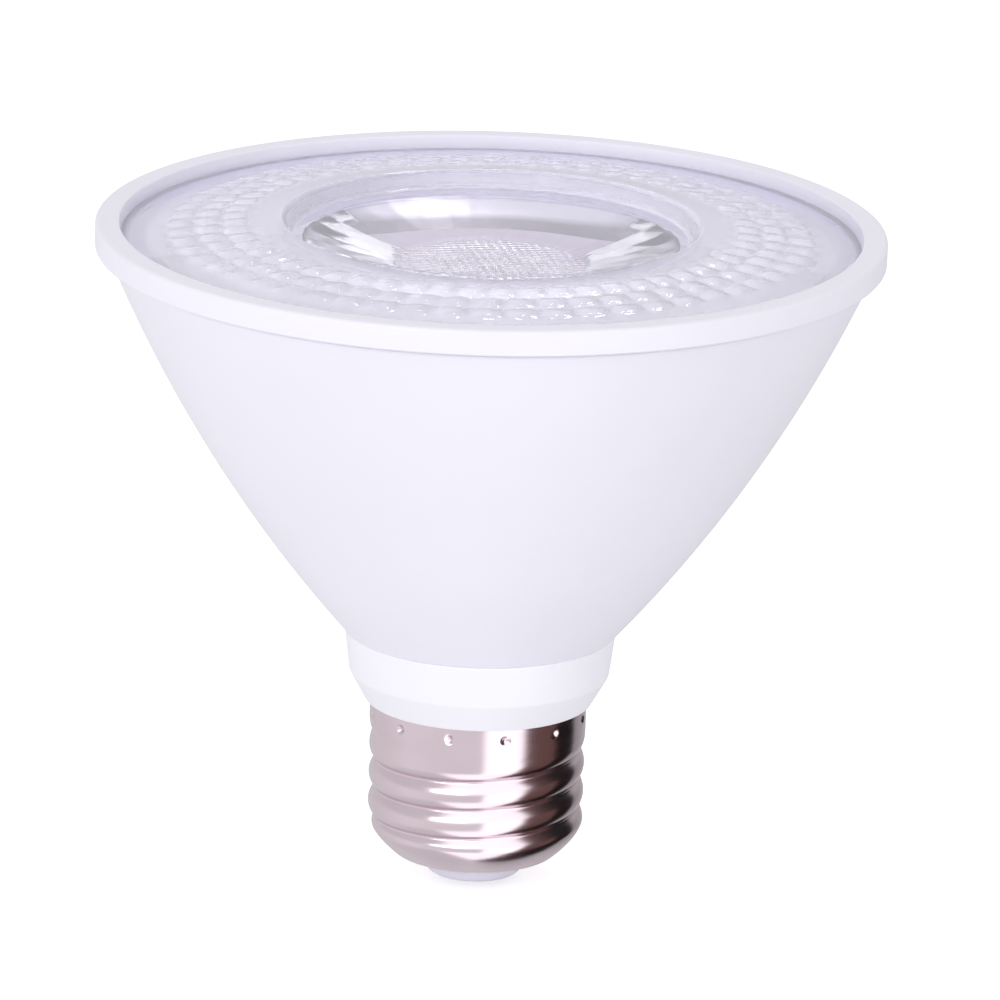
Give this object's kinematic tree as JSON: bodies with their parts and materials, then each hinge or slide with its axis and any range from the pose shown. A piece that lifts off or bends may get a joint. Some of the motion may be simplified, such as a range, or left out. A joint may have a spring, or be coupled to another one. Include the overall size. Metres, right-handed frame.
{
  "type": "par spotlight bulb",
  "caption": "Reflector spot lamp with a flat clear patterned front, a white flared bowl, a short neck and a metal screw base.",
  "frame": {"origin": "on the lamp's axis, at the tip of the centre contact", "axes": "+Z along the lamp's axis from the screw base to the lens, -Y towards the viewer of the picture, +X to the viewer's right"},
  "size_m": [0.095, 0.095, 0.083],
  "materials": {
    "white_ring": "satin moulded plastic",
    "white_bowl": "satin moulded plastic",
    "white_neck": "satin moulded plastic",
    "clear_lens": "clear polished plastic",
    "nickel_plate": "polished nickel plate",
    "white_insulator": "moulded plastic",
    "contact_metal": "nickel plated",
    "bare_aluminium": "turned",
    "white_board": "white solder mask on a metal core",
    "led_phosphor": "silicone",
    "screw_steel": "zinc plated",
    "circuit_board": "solder mask",
    "ferrite": "sintered",
    "winding_tape": "polyester tape",
    "capacitor_sleeve": "shrink sleeve",
    "film_case": "dipped",
    "choke_sleeve": "shrink sleeve",
    "varistor_coat": "dipped",
    "resistor_coat": "cement coat",
    "black_package": "moulded package",
    "brown_lead": "insulated wire",
    "blue_lead": "insulated wire",
    "red_lead": "insulated wire",
    "black_lead": "insulated wire"
  },
  "bodies": {
    "root": {"front_ring": "white_ring", "lens": "clear_lens", "housing": "white_bowl", "neck_collar": "white_neck", "screw_shell": "nickel_plate", "base_insulator": "white_insulator", "centre_contact": "contact_metal", "heat_sink": "bare_aluminium", "led_board": "white_board", "led_chips": "led_phosphor", "board_screws": "screw_steel", "driver_board": "circuit_board", "transformer_core": "ferrite", "transformer_winding": "winding_tape", "input_capacitor": "capacitor_sleeve", "output_capacitor": "capacitor_sleeve", "film_capacitor": "film_case", "filter_choke": "choke_sleeve", "surge_varistor": "varistor_coat", "fuse_resistor": "resistor_coat", "rectifier": "black_package", "driver_chip": "black_package", "output_diode": "black_package", "live_lead": "brown_lead", "neutral_lead": "blue_lead", "led_lead_positive": "red_lead", "led_lead_negative": "black_lead"}
  },
  "joints": []
}
